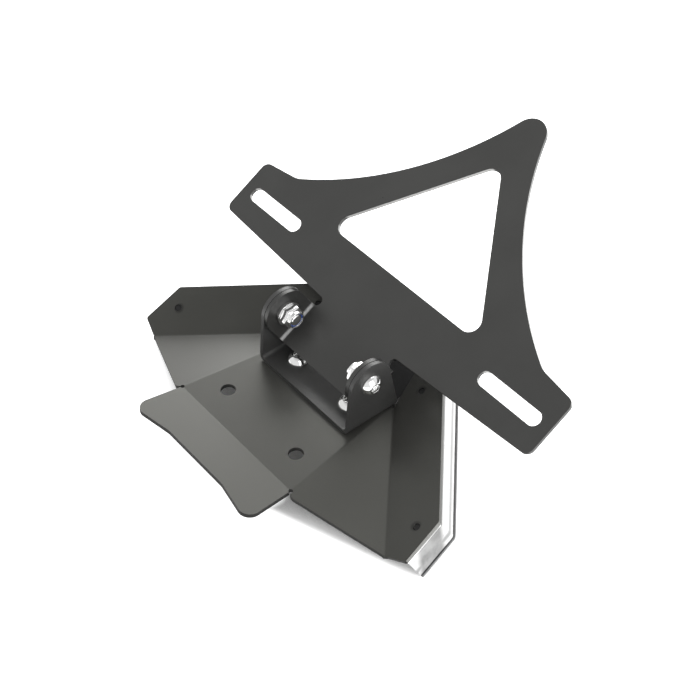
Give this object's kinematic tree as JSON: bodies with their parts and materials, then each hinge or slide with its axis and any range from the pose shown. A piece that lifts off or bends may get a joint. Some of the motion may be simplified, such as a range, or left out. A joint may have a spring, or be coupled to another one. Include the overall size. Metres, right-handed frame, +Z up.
{
  "type": "tail tidy",
  "caption": "Motorbike tail tidy: folded undertray with a U bracket, and a triangular number-plate bracket hinged on it by two bolts with lock nuts.",
  "frame": {"origin": "midway between the two tail bolt holes, on the panel's face away from the motorbike", "axes": "+X across to the right, +Y from the undertray's tongue toward the number-plate bracket, +Z up as the part lies in the picture, which is down on the motorbike"},
  "size_m": [0.2104, 0.2056, 0.1086],
  "materials": {
    "undertray_coating": "satin black powder coat",
    "bracket_coating": "satin black powder coat",
    "plate_coating": "satin black powder coat",
    "bright_steel": "bright, slightly worn",
    "zinc_steel": "bright zinc",
    "polished_steel": "mirror polish",
    "trim_rubber": "matt"
  },
  "bodies": {
    "undertray": {"base_plate": "undertray_coating", "hinge_bracket": "bracket_coating", "pivot_bolt_left": "bright_steel", "pivot_bolt_right": "bright_steel", "pivot_washer_left": "zinc_steel", "pivot_washer_right": "zinc_steel", "pivot_nut_left": "zinc_steel", "pivot_nut_right": "zinc_steel", "base_bolt_left": "bright_steel", "base_bolt_right": "bright_steel", "base_washer_left": "zinc_steel", "base_washer_right": "zinc_steel", "base_nut_left": "zinc_steel", "base_nut_right": "zinc_steel", "side_skirt_left": "polished_steel", "side_skirt_right": "polished_steel", "edge_trim_left": "trim_rubber", "edge_trim_right": "trim_rubber", "skirt_screw_front_left": "bright_steel", "skirt_screw_front_right": "bright_steel", "skirt_screw_rear_left": "bright_steel", "skirt_screw_rear_right": "bright_steel"},
    "plate": {"plate_bracket": "plate_coating"}
  },
  "joints": [
    {"name": "plate_tilt", "type": "hinge", "parent": "undertray", "child": "plate", "pos_m": [0, 0.0369, 0.0247], "axis": [1, 0, 0], "range_deg": [-20, 80]}
  ]
}
